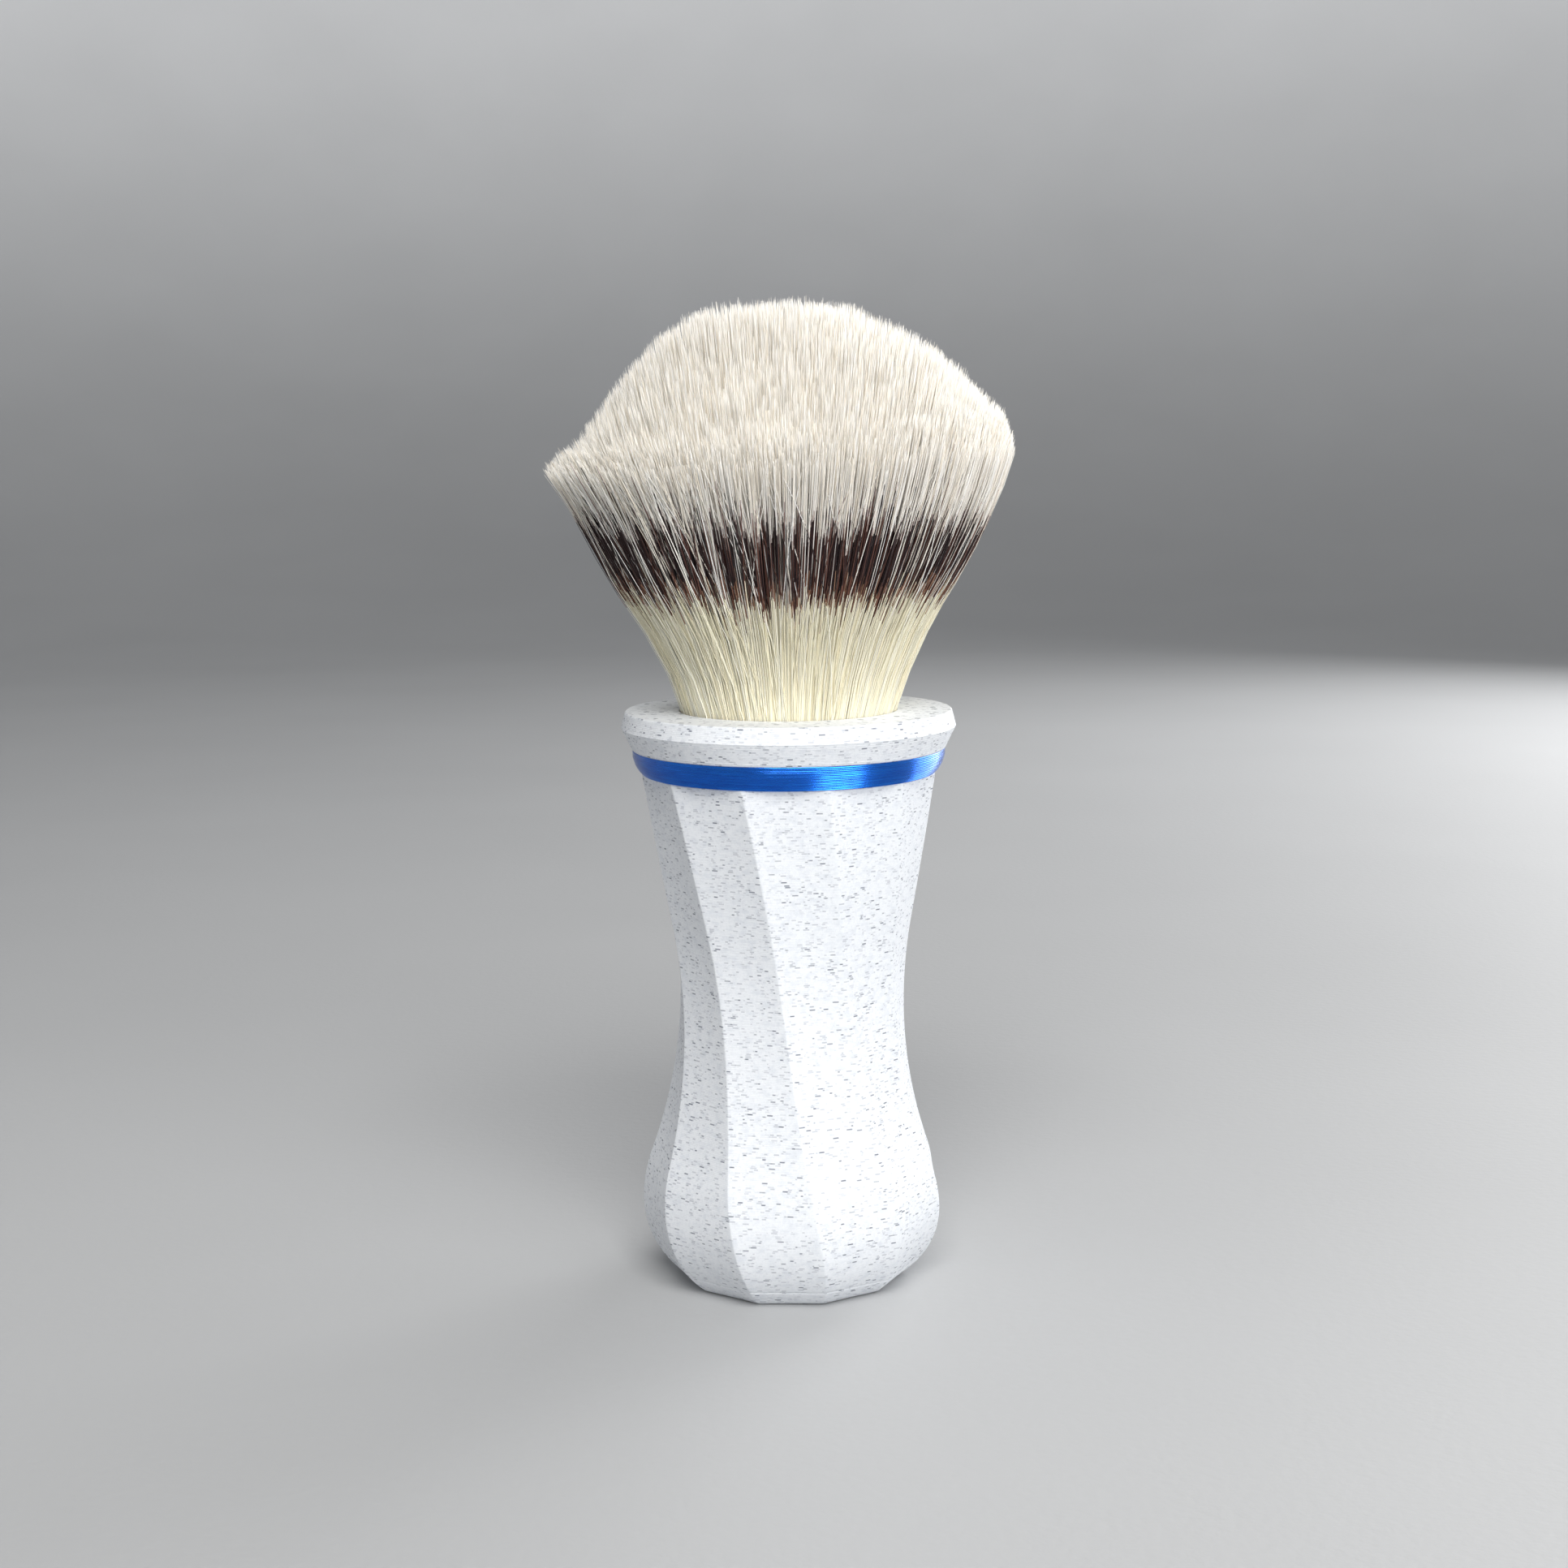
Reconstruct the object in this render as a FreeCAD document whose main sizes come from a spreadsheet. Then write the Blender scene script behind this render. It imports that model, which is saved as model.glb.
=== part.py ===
import FreeCAD, Part
import math
import os
import Sketcher

# Barber's fade brush: a printed, twisted handle with a fan-shaped knot of fibres glued in its collar.
# The brush stands on its base. The origin is the centre of the base and +Z is up. Sizes are in mm.

doc = FreeCAD.newDocument("FadeBrush")
sheet = doc.addObject("Spreadsheet::Sheet", "Sizes")

# alias: (value, what it is). Heights are above the base.
DRIVING = {
    "facets": (11, "sides of the grip"),
    "base_ridge": (13.5, "radius to a ridge at the base"),
    "bulb_ridge": (18.5, "radius to a ridge at the bulb"),
    "bulb_z": (9.5, "height of the bulb"),
    "bulb_arc": (16.0, "radius of the profile arc above the bulb"),
    "waist_ridge": (13.95, "radius to a ridge at the waist"),
    "waist_z": (34.5, "height of the waist"),
    "flare_arc": (60.0, "radius of the profile arc above the waist"),
    "flare_angle": (9.5, "lean of the straight flare, degrees"),
    "first_ridge": (252.0, "direction of one ridge at the base, degrees from +X"),
    "cap_top": (2.2, "height of the seam between base cap and grip"),
    "grip_top": (62.5, "height of the seam between grip and accent ring"),
    "ring_top": (65.35, "height of the seam between accent ring and collar"),
    "rim_z": (68.05, "height of the collar's sharp rim"),
    "collar_top": (70.0, "height of the collar's flat top"),
    "ring_low_r": (17.6, "accent ring radius at its lower edge"),
    "ring_high_r": (18.85, "accent ring radius at its upper edge"),
    "ring_bulge": (3.4, "radius of the arc of the accent ring's outside"),
    "rim_r": (20.15, "collar radius at its rim"),
    "collar_face_r": (19.65, "radius of the collar's flat top"),
    "socket_r": (13.1, "knot socket radius"),
    "socket_floor": (56.0, "height of the socket's floor"),
    "spigot_r": (14.3, "collar spigot radius"),
    "spigot_floor": (1.5, "thickness of the collar under the socket"),
    "slip": (0.15, "radial gap of the glued joints"),
    "register_ridge": (12.65, "radius to a corner of the cap's register"),
    "register_rise": (1.5, "height of the register"),
    "chamber_r": (11.5, "ballast chamber radius"),
    "chamber_top": (24.0, "height of the ballast chamber's roof"),
    "slug_long": (20.0, "ballast slug length"),
    "slug_chamfer": (0.8, "ballast slug edge chamfer"),
    "bond": (0.55, "thickness of the adhesive round the potted root"),
    "bond_floor": (1.0, "thickness of the adhesive under the potted root"),
    "bond_top": (66.0, "height of the adhesive's top"),
    "plug_top": (66.5, "height of the potted root's top"),
    "plug_chamfer": (0.8, "chamfer of the potted root"),
    "root_r": (12.6, "fibre knot radius where it leaves the resin"),
    "neck_r": (12.85, "fibre knot radius at the collar's top"),
    "spread_r": (14.0, "fibre knot radius where its sides turn straight"),
    "spread_z": (75.0, "height of that turn"),
    "fan_r": (26.6, "fibre knot's largest radius"),
    "fan_low_z": (98.5, "height where the largest radius starts"),
    "fan_high_z": (102.0, "height where the dome starts"),
    "tip_z": (118.4, "height of the dome's top"),
}
for row, (alias, (value, meaning)) in enumerate(DRIVING.items(), start=1):
    sheet.set(f"A{row}", meaning)
    sheet.set(f"B{row}", str(value))
    sheet.setAlias(f"B{row}", alias)
doc.recompute()


def cells(text):
    """The expression for text, in which each sheet alias is written in braces."""
    return text.replace("{", "Sizes.").replace("}", "")


def number(text):
    """The present value of such an expression."""
    return float(sheet.evalExpression(cells(text)))


def bind(thing, **sizes):
    """Binds a primitive's properties to expressions. z and turn are its placement's height and angle."""
    paths = {"z": "Placement.Base.z", "turn": "Placement.Rotation.Angle"}
    for name, text in sizes.items():
        thing.setExpression(paths.get(name, name), cells(text))
    return thing


# ---- sketched bodies -------------------------------------------------------------------------


def sketch_on(body, role, name):
    """A sketch on one of the body's own origin planes."""
    sketch = body.newObject("Sketcher::SketchObject", name)
    plane = next(feature for feature in body.Origin.OriginFeatures if feature.Role == role)
    sketch.AttachmentSupport = (plane, "")
    sketch.MapMode = "FlatFace"
    return sketch


def dimension(sketch, name, text, kind, *place):
    """A named dimension whose size is an expression."""
    sketch.addConstraint(Sketcher.Constraint(kind, *place, number(text)))
    sketch.renameConstraint(sketch.ConstraintCount - 1, name)
    sketch.setExpression(f"Constraints.{name}", cells(text))


def outward_arc(start, end, radius):
    """An arc from start up to end that bulges away from the axis."""
    chord = end - start
    outward = FreeCAD.Vector(chord.y, -chord.x, 0).normalize()
    rise = radius - math.sqrt(radius**2 - chord.Length**2 / 4)
    return Part.Arc(start, start + chord / 2 + outward * rise, end)


def turned_body(label, outline, arcs=None):
    """A body turned about Z from an outline of (radius, height) expressions, "0" on the axis.

    arcs gives an arc's radius for the edge that starts at the point of that index.
    """
    arcs = arcs or {}
    body = doc.addObject("PartDesign::Body", label)
    sketch = sketch_on(body, "XZ_Plane", label + "_profile")
    points = [FreeCAD.Vector(number(radius), number(height), 0) for radius, height in outline]
    for edge, start in enumerate(points):
        end = points[(edge + 1) % len(points)]
        if edge in arcs:
            sketch.addGeometry(outward_arc(start, end, number(arcs[edge])), False)
        else:
            sketch.addGeometry(Part.LineSegment(start, end), False)
    for edge, (radius, height) in enumerate(outline):
        sketch.addConstraint(Sketcher.Constraint("Coincident", edge, 2, (edge + 1) % len(outline), 1))
        if radius == "0":
            sketch.addConstraint(Sketcher.Constraint("PointOnObject", edge, 1, -2))
        else:
            dimension(sketch, f"radius_{edge}", radius, "DistanceX", -1, 1, edge, 1)
        dimension(sketch, f"height_{edge}", height, "DistanceY", -1, 1, edge, 1)
    for edge, radius in arcs.items():
        dimension(sketch, f"arc_{edge}", radius, "Radius", edge)
    turned = body.newObject("PartDesign::Revolution", label + "_turned")
    turned.Profile = sketch
    turned.ReferenceAxis = (sketch, ["V_Axis"])
    turned.Angle = 360
    body.Tip = turned
    doc.recompute()
    return body


# ---- the twisted, faceted outside, shared by the grip and its base cap -------------------------

BASE_ARC = "((({bulb_ridge} - {base_ridge})^2 + {bulb_z}^2) / (2 * ({bulb_ridge} - {base_ridge})))"
DROP = "({waist_z} - {bulb_z})"
NARROWING = "({bulb_ridge} - {waist_ridge})"
# The bulb's arc and the waist's lower arc touch, so their radii add up to this.
ARC_SUM = f"(({DROP}^2 + {NARROWING}^2) / (2 * {NARROWING}))"
WAIST_ARC = f"({ARC_SUM} - {{bulb_arc}})"
JOIN_Z = f"({{bulb_z}} + {DROP} * {{bulb_arc}} / {ARC_SUM})"
FLARE_Z = "({waist_z} + {flare_arc} * sin({flare_angle} * 1 deg))"
FLARE_R = "({waist_ridge} + {flare_arc} * (1 - cos({flare_angle} * 1 deg)))"


def between(low, high, count):
    """count height expressions after low, evenly spaced, up to and with high."""
    return [f"({low} + ({high} - {low}) * {step} / {count})" for step in range(1, count + 1)]


# Each stretch of the outline: its section heights, and the ridge radius at a height Z.
STRETCHES = [
    (
        ["0"] + between("0", "{bulb_z}", 6),
        f"{{bulb_ridge}} - {BASE_ARC} + sqrt({BASE_ARC}^2 - ({{bulb_z}} - Z)^2)",
    ),
    (
        between("{bulb_z}", JOIN_Z, 2),
        "{bulb_ridge} - {bulb_arc} + sqrt({bulb_arc}^2 - (Z - {bulb_z})^2)",
    ),
    (
        between(JOIN_Z, "{waist_z}", 4),
        f"{{waist_ridge}} + {WAIST_ARC} - sqrt({WAIST_ARC}^2 - ({{waist_z}} - Z)^2)",
    ),
    (
        between("{waist_z}", FLARE_Z, 2),
        "{waist_ridge} + {flare_arc} - sqrt({flare_arc}^2 - (Z - {waist_z})^2)",
    ),
    (
        between(FLARE_Z, "{grip_top}", 3),
        f"{FLARE_R} + (Z - {FLARE_Z}) * tan({{flare_angle}} * 1 deg)",
    ),
]


def ridge_turn(height):
    """The direction of the first ridge at a height: the facets turn by one pitch over the grip."""
    return f"{{first_ridge}} - 360 / {{facets}} * {height} / {{grip_top}}"


def faceted_blank():
    """The whole outside from the base to the accent ring, lofted through turned polygons."""
    sections = []
    for heights, radius in STRETCHES:
        for height in heights:
            section = doc.addObject("Part::RegularPolygon", f"section_{len(sections)}")
            bind(
                section,
                Polygon="{facets}",
                Circumradius=radius.replace("Z", height),
                z=height,
                turn=ridge_turn(height),
            )
            sections.append(section)
    loft = doc.addObject("Part::Loft", "faceted_blank")
    loft.Sections = sections
    loft.Solid = True
    loft.Ruled = False
    return loft


def drum(name, radius, low, high):
    """A cylinder on the axis between two heights."""
    return bind(doc.addObject("Part::Cylinder", name), Radius=radius, Height=f"{high} - {low}", z=low)


def register_prism(name, ridge, rise):
    """A faceted plug that stands on the cap's seam, in line with the ridges there."""
    prism = doc.addObject("Part::Prism", name)
    return bind(
        prism, Polygon="{facets}", Circumradius=ridge, Height=rise, z="{cap_top}", turn=ridge_turn("{cap_top}")
    )


def combined(kind, label, base, tool):
    """A boolean of two shapes: Cut, Common or Fuse."""
    result = doc.addObject(f"Part::{kind}", label)
    result.Base = base
    result.Tool = tool
    return result


def handle_pieces():
    """The grip, open for the ballast below and the collar's spigot above, and its base cap."""
    blank = faceted_blank()
    slab = drum("cap_slab", "2 * {bulb_ridge}", "0", "{cap_top}")
    foot = combined("Common", "cap_foot", blank, slab)
    register = register_prism("cap_register", "{register_ridge}", "{register_rise}")
    cap = combined("Fuse", "base_cap", foot, register)

    below = doc.addObject("Part::MultiFuse", "opened_below")
    below.Shapes = [
        slab,
        register_prism("cap_recess", "{register_ridge} + {slip}", "{register_rise} + {slip}"),
        drum("ballast_chamber", "{chamber_r}", "{cap_top}", "{chamber_top}"),
    ]
    recess_floor = "({socket_floor} - {spigot_floor} - {slip})"
    above = drum("spigot_recess", "{spigot_r} + {slip}", recess_floor, "({grip_top} + 1)")
    grip = combined("Cut", "grip_shell", combined("Cut", "grip_closed_above", blank, below), above)
    return [grip, cap]


# ---- the round pieces --------------------------------------------------------------------------


def accent_ring():
    """The coloured ring: it slides over the collar's spigot and overhangs the facets."""
    bore = "{spigot_r} + {slip}"
    outline = [
        (bore, "{grip_top}"),
        ("{ring_low_r}", "{grip_top}"),
        ("{ring_high_r}", "{ring_top}"),
        (bore, "{ring_top}"),
    ]
    return turned_body("accent_ring", outline, {1: "{ring_bulge}"})


def socket_collar():
    """The collar: a cup for the knot whose outside is the spigot, under a wide bevelled rim."""
    outline = [
        ("0", "{socket_floor} - {spigot_floor}"),
        ("{spigot_r}", "{socket_floor} - {spigot_floor}"),
        ("{spigot_r}", "{ring_top}"),
        ("{ring_high_r}", "{ring_top}"),
        ("{rim_r}", "{rim_z}"),
        ("{collar_face_r}", "{collar_top}"),
        ("{socket_r}", "{collar_top}"),
        ("{socket_r}", "{socket_floor}"),
        ("0", "{socket_floor}"),
    ]
    return turned_body("socket_collar", outline)


def knot_root():
    """The resin disc that the fibres' lower ends are potted in."""
    radius = "({socket_r} - {bond})"
    floor = "({socket_floor} + {bond_floor})"
    outline = [
        ("0", floor),
        (f"{radius} - {{plug_chamfer}}", floor),
        (radius, f"{floor} + {{plug_chamfer}}"),
        (radius, "{plug_top}"),
        ("0", "{plug_top}"),
    ]
    return turned_body("knot_root", outline)


def knot_adhesive():
    """The adhesive that fills the socket under and round the potted root."""
    inside = "({socket_r} - {bond})"
    floor = "({socket_floor} + {bond_floor})"
    outline = [
        ("0", "{socket_floor}"),
        ("{socket_r}", "{socket_floor}"),
        ("{socket_r}", "{bond_top}"),
        (inside, "{bond_top}"),
        (inside, f"{floor} + {{plug_chamfer}}"),
        (f"{inside} - {{plug_chamfer}}", floor),
        ("0", floor),
    ]
    return turned_body("knot_adhesive", outline)


def fibre_knot():
    """The outer shape of the fibre bundle: a narrow neck, a wide fan and a domed top."""
    rise = "({tip_z} - {fan_high_z})"
    outline = [
        ("0", "{plug_top}"),
        ("{root_r}", "{plug_top}"),
        ("{neck_r}", "{collar_top}"),
        ("{spread_r}", "{spread_z}"),
        ("{fan_r}", "{fan_low_z}"),
        ("{fan_r}", "{fan_high_z}"),
        ("0", "{tip_z}"),
    ]
    return turned_body("fibre_knot", outline, {5: f"({{fan_r}}^2 + {rise}^2) / (2 * {rise})"})


def ballast_slug():
    """The steel slug that stands on the cap's register and keeps the brush upright."""
    body = doc.addObject("PartDesign::Body", "ballast_slug")
    sketch = sketch_on(body, "XY_Plane", "ballast_slug_round")
    sketch.addGeometry(Part.Circle(FreeCAD.Vector(), FreeCAD.Vector(0, 0, 1), number("{chamber_r}")), False)
    sketch.addConstraint(Sketcher.Constraint("Coincident", 0, 3, -1, 1))
    dimension(sketch, "slug_radius", "{chamber_r} - {slip}", "Radius", 0)
    pad = body.newObject("PartDesign::Pad", "ballast_slug_bar")
    pad.Profile = sketch
    bind(pad, Length="{slug_long}")
    doc.recompute()
    rims = [f"Edge{i}" for i, edge in enumerate(pad.Shape.Edges, start=1) if edge.isClosed()]
    chamfer = body.newObject("PartDesign::Chamfer", "ballast_slug_edges")
    chamfer.Base = (pad, rims)
    bind(chamfer, Size="{slug_chamfer}")
    body.Tip = chamfer
    bind(body, z="{cap_top} + {register_rise}")
    return body


pieces = handle_pieces()
pieces += [accent_ring(), socket_collar(), knot_root(), knot_adhesive(), fibre_knot(), ballast_slug()]
doc.recompute()

for thing in doc.Objects:
    if "Invalid" in thing.State or "Error" in thing.State:
        raise SystemExit(f"{thing.Label} failed: {thing.State}")
for piece in pieces:
    if piece.Shape.isNull() or not piece.Shape.isValid():
        raise SystemExit(f"{piece.Label} has no valid shape")

os.makedirs("parts", exist_ok=True)
for piece in pieces:
    piece.Shape.exportStep(f"parts/{piece.Label}.step")
    print(f"{piece.Label}: {len(piece.Shape.Solids)} solid, {piece.Shape.Volume:.1f} mm3")
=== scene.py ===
"""The looks of a barber's fade brush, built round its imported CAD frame.

The brush stands at the origin with +Z up. Shapes are worked out in millimetres, and become metres in
build_mesh.
"""

import math

import bpy
import numpy as np
from mathutils import Matrix, Vector


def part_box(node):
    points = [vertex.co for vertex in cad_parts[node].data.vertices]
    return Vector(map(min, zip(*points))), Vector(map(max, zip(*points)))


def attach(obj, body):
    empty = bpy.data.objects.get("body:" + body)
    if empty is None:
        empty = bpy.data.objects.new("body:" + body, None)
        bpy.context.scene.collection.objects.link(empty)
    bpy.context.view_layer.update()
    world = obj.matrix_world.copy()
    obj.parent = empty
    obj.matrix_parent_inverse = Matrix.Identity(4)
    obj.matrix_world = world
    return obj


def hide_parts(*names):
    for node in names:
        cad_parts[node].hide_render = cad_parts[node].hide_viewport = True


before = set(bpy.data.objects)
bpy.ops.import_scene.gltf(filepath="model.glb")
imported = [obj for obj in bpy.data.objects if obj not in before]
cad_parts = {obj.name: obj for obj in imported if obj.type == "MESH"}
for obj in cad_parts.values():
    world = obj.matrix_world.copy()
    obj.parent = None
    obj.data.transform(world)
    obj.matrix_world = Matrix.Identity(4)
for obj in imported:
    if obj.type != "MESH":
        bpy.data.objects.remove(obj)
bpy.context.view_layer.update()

MM = 0.001
RANDOM = np.random.default_rng(11)


def heights(node):
    """The lowest and highest z of a CAD node, in mm."""
    low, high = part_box(node)
    return low.z / MM, high.z / MM


CAP_TOP = heights("grip_shell")[0]
RING_LOW, RING_HIGH = heights("accent_ring")
SPIGOT_FLOOR, COLLAR_TOP = heights("socket_collar")
KNOT_FOOT = heights("fibre_knot")[0]
SOCKET_FLOOR = heights("knot_adhesive")[0]

# ---- nodes and materials -----------------------------------------------------------------------


def place(tree, kind, inputs=None, **settings):
    """A shader node with its settings. An input is a plain value, or a socket to link from."""
    node = tree.nodes.new(kind)
    for name, value in settings.items():
        setattr(node, name, value)
    for name, value in (inputs or {}).items():
        if isinstance(value, bpy.types.NodeSocket):
            tree.links.new(value, node.inputs[name])
        else:
            node.inputs[name].default_value = value
    return node


def calc(tree, operation, *values):
    """One Math node; its output socket."""
    return place(tree, "ShaderNodeMath", dict(enumerate(values)), operation=operation).outputs[0]


def ramp(tree, value, low, high, to_low=0.0, to_high=1.0):
    """A smooth step from to_low to to_high as value goes from low to high."""
    inputs = {"Value": value, "From Min": low, "From Max": high, "To Min": to_low, "To Max": to_high}
    return place(tree, "ShaderNodeMapRange", inputs, interpolation_type="SMOOTHSTEP").outputs["Result"]


def blend(tree, factor, first, second):
    """A mix of two colours."""
    node = place(tree, "ShaderNodeMix", data_type="RGBA")
    sockets = (node.inputs["Factor"], node.inputs[6], node.inputs[7])
    for socket, value in zip(sockets, (factor, first, second)):
        if isinstance(value, bpy.types.NodeSocket):
            tree.links.new(value, socket)
        else:
            socket.default_value = value
    return node.outputs[2]


def colour(red, green, blue):
    """A linear colour from its 0 to 255 display values."""
    linear = []
    for value in (red, green, blue):
        share = value / 255
        linear.append(share / 12.92 if value <= 10 else ((share + 0.055) / 1.055) ** 2.4)
    return (*linear, 1.0)


def material(name, **constants):
    """A new Principled material: the material, its node tree and its shader node."""
    made = bpy.data.materials.new(name)
    made.use_nodes = True
    shader = made.node_tree.nodes["Principled BSDF"]
    for socket, value in constants.items():
        shader.inputs[socket.replace("_", " ")].default_value = value
    return made, made.node_tree, shader


def millimetres(tree, scale=(1, 1, 1)):
    """The object's own coordinates in mm, stretched by scale."""
    position = place(tree, "ShaderNodeTexCoord").outputs["Object"]
    inputs = {"Vector": position, "Scale": [s / MM for s in scale]}
    return place(tree, "ShaderNodeMapping", inputs).outputs[0]


def noise(tree, vector, scale, detail=2.0, roughness=0.5):
    """A noise's value, at scale features per mm."""
    inputs = {"Vector": vector, "Scale": scale, "Detail": detail, "Roughness": roughness}
    return place(tree, "ShaderNodeTexNoise", inputs).outputs["Fac"]


def bump(tree, height, depth, normal=None):
    """A bump of a 0 to 1 height that is depth mm deep."""
    inputs = {"Height": height, "Distance": depth * MM, "Strength": 1.0}
    if normal:
        inputs["Normal"] = normal
    return place(tree, "ShaderNodeBump", inputs).outputs[0]


LAYER = 0.2  # layer height of the printed pieces
LAYER_LIFT = 0.04  # the pattern's layers start this much higher, so a flat face lies inside one


def layer_of(tree, position):
    """How many printed layers up a point is, and the whole number of the layer it is in."""
    z = place(tree, "ShaderNodeSeparateXYZ", {0: position}).outputs["Z"]
    along = calc(tree, "DIVIDE", calc(tree, "SUBTRACT", z, LAYER_LIFT), LAYER)
    return along, calc(tree, "FLOOR", along)


SPECK_JUMP = (97, 89, 83)  # the specks of each layer are moved by up to this many mm


def speckled_print():
    """White printed plastic with short grey specks that lie along its layers."""
    made, tree, shader = material("speckled_print", IOR=1.46)
    position = millimetres(tree)
    along, layer = layer_of(tree, position)
    middle = calc(tree, "ABSOLUTE", calc(tree, "SUBTRACT", calc(tree, "FRACT", along), 0.5))
    bead = ramp(tree, middle, 0.5, 0.22)

    def specks(spacing, longest, seed):
        """Dashes in each layer: discs round random points of that layer's plane, cut by the surface."""
        draw = calc(tree, "ADD", layer, seed)
        shift = place(tree, "ShaderNodeTexWhiteNoise", {"W": draw}, noise_dimensions="1D")
        jump_inputs = {0: shift.outputs["Color"], 1: SPECK_JUMP}
        jump = place(tree, "ShaderNodeVectorMath", jump_inputs, operation="MULTIPLY")
        moved = place(tree, "ShaderNodeVectorMath", {0: position, 1: jump.outputs[0]}, operation="ADD")
        cell_inputs = {"Vector": moved.outputs[0], "Scale": 1 / spacing}
        cells = place(tree, "ShaderNodeTexVoronoi", cell_inputs, voronoi_dimensions="2D")
        chance = place(tree, "ShaderNodeSeparateColor", {0: cells.outputs["Color"]})
        reach = ramp(tree, chance.outputs["Red"], 0.0, 1.0, 0.4 * longest / spacing, longest / spacing)
        inside = calc(tree, "SUBTRACT", reach, cells.outputs["Distance"])
        strength = ramp(tree, chance.outputs["Green"], 0.0, 1.0, 0.3, 1.0)
        return calc(tree, "MULTIPLY", calc(tree, "MULTIPLY", ramp(tree, inside, 0.0, 0.06), strength), bead)

    weak = specks(1.3, 0.42, 3.0)
    strong = specks(2.3, 0.45, 41.0)
    clouds = ramp(tree, noise(tree, millimetres(tree, (1, 1, 1.5)), 0.85, 3.0, 0.6), 0.44, 0.72)
    mottle = noise(tree, position, 3.2, 2.0)
    tone = blend(tree, clouds, colour(232, 235, 239), colour(221, 225, 231))
    tone = blend(tree, ramp(tree, mottle, 0.4, 0.8, 0.0, 0.4), tone, colour(209, 213, 220))
    tone = blend(tree, calc(tree, "MULTIPLY", weak, 0.75), tone, colour(173, 176, 186))
    tone = blend(tree, calc(tree, "MULTIPLY", strong, 0.9), tone, colour(96, 103, 118))
    tree.links.new(tone, shader.inputs["Base Color"])
    grain = noise(tree, position, 9.0, 2.0)
    tree.links.new(ramp(tree, grain, 0.3, 0.7, 0.46, 0.6), shader.inputs["Roughness"])
    rough = bump(tree, grain, 0.012)
    streaks = noise(tree, millimetres(tree, (0.25, 0.25, 4.0)), 1.0, 2.0)
    tree.links.new(bump(tree, streaks, 0.012, rough), shader.inputs["Normal"])
    return made


def silk_blue():
    """Blue printed plastic with a silky, nearly metallic shine."""
    made, tree, shader = material("silk_blue", IOR=1.5, Metallic=1.0, Coat_Weight=0.6, Coat_Roughness=0.2)
    position = millimetres(tree)
    layer = layer_of(tree, position)[1]
    by_layer = place(tree, "ShaderNodeTexWhiteNoise", {"W": layer}, noise_dimensions="1D").outputs["Value"]
    drift = noise(tree, millimetres(tree, (1, 1, 5)), 0.35, 2.0)
    tone = blend(tree, by_layer, colour(3, 108, 222), colour(10, 126, 240))
    tone = blend(tree, ramp(tree, drift, 0.35, 0.7, 0.0, 0.6), tone, colour(2, 94, 204))
    tree.links.new(tone, shader.inputs["Base Color"])
    tree.links.new(ramp(tree, drift, 0.3, 0.7, 0.19, 0.27), shader.inputs["Roughness"])
    streaks = noise(tree, millimetres(tree, (0.5, 0.5, 8)), 1.2, 3.0)
    tree.links.new(bump(tree, streaks, 0.006), shader.inputs["Normal"])
    return made


def potting_resin():
    """The clear amber resin that the fibres are potted in."""
    made, tree, shader = material("potting_resin", IOR=1.52, Coat_Weight=0.4, Coat_Roughness=0.1)
    ripple = noise(tree, millimetres(tree), 0.5, 3.0)
    tone = blend(tree, ripple, colour(150, 118, 70), colour(186, 156, 104))
    tree.links.new(tone, shader.inputs["Base Color"])
    tree.links.new(ramp(tree, ripple, 0.3, 0.7, 0.18, 0.34), shader.inputs["Roughness"])
    tree.links.new(bump(tree, ripple, 0.1), shader.inputs["Normal"])
    return made


def cured_adhesive():
    """Milky two-part adhesive."""
    made, tree, shader = material("cured_adhesive", IOR=1.5)
    ripple = noise(tree, millimetres(tree), 0.8, 3.0)
    tone = blend(tree, ripple, colour(206, 204, 190), colour(226, 224, 214))
    tree.links.new(tone, shader.inputs["Base Color"])
    tree.links.new(ramp(tree, ripple, 0.3, 0.7, 0.28, 0.42), shader.inputs["Roughness"])
    tree.links.new(bump(tree, ripple, 0.08), shader.inputs["Normal"])
    return made


def turned_steel():
    """Steel bar with fine turning marks."""
    made, tree, shader = material("turned_steel", Metallic=1.0)
    marks = noise(tree, millimetres(tree, (0.3, 0.3, 6)), 1.0, 3.0)
    tone = blend(tree, marks, colour(128, 130, 134), colour(168, 170, 174))
    tree.links.new(tone, shader.inputs["Base Color"])
    tree.links.new(ramp(tree, marks, 0.3, 0.7, 0.22, 0.42), shader.inputs["Roughness"])
    tree.links.new(bump(tree, marks, 0.02), shader.inputs["Normal"])
    return made


# ---- meshes ------------------------------------------------------------------------------------


def build_mesh(name, points, faces, materials, face_material=None):
    """An object from points in mm and arrays of faces, each array with one number of corners."""
    mesh = bpy.data.meshes.new(name)
    corners = np.concatenate([block.ravel() for block in faces])
    counts = np.concatenate([np.full(len(block), block.shape[1]) for block in faces])
    mesh.vertices.add(len(points))
    mesh.vertices.foreach_set("co", (points * MM).astype(np.float32).ravel())
    mesh.loops.add(len(corners))
    mesh.loops.foreach_set("vertex_index", corners.astype(np.int32))
    mesh.polygons.add(len(counts))
    mesh.polygons.foreach_set("loop_start", (np.cumsum(counts) - counts).astype(np.int32))
    for made in materials:
        mesh.materials.append(made)
    if face_material is not None:
        mesh.polygons.foreach_set("material_index", face_material.astype(np.int32))
    mesh.update(calc_edges=True)
    mesh.shade_smooth()
    thing = bpy.data.objects.new(name, mesh)
    bpy.context.scene.collection.objects.link(thing)
    return thing


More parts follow.
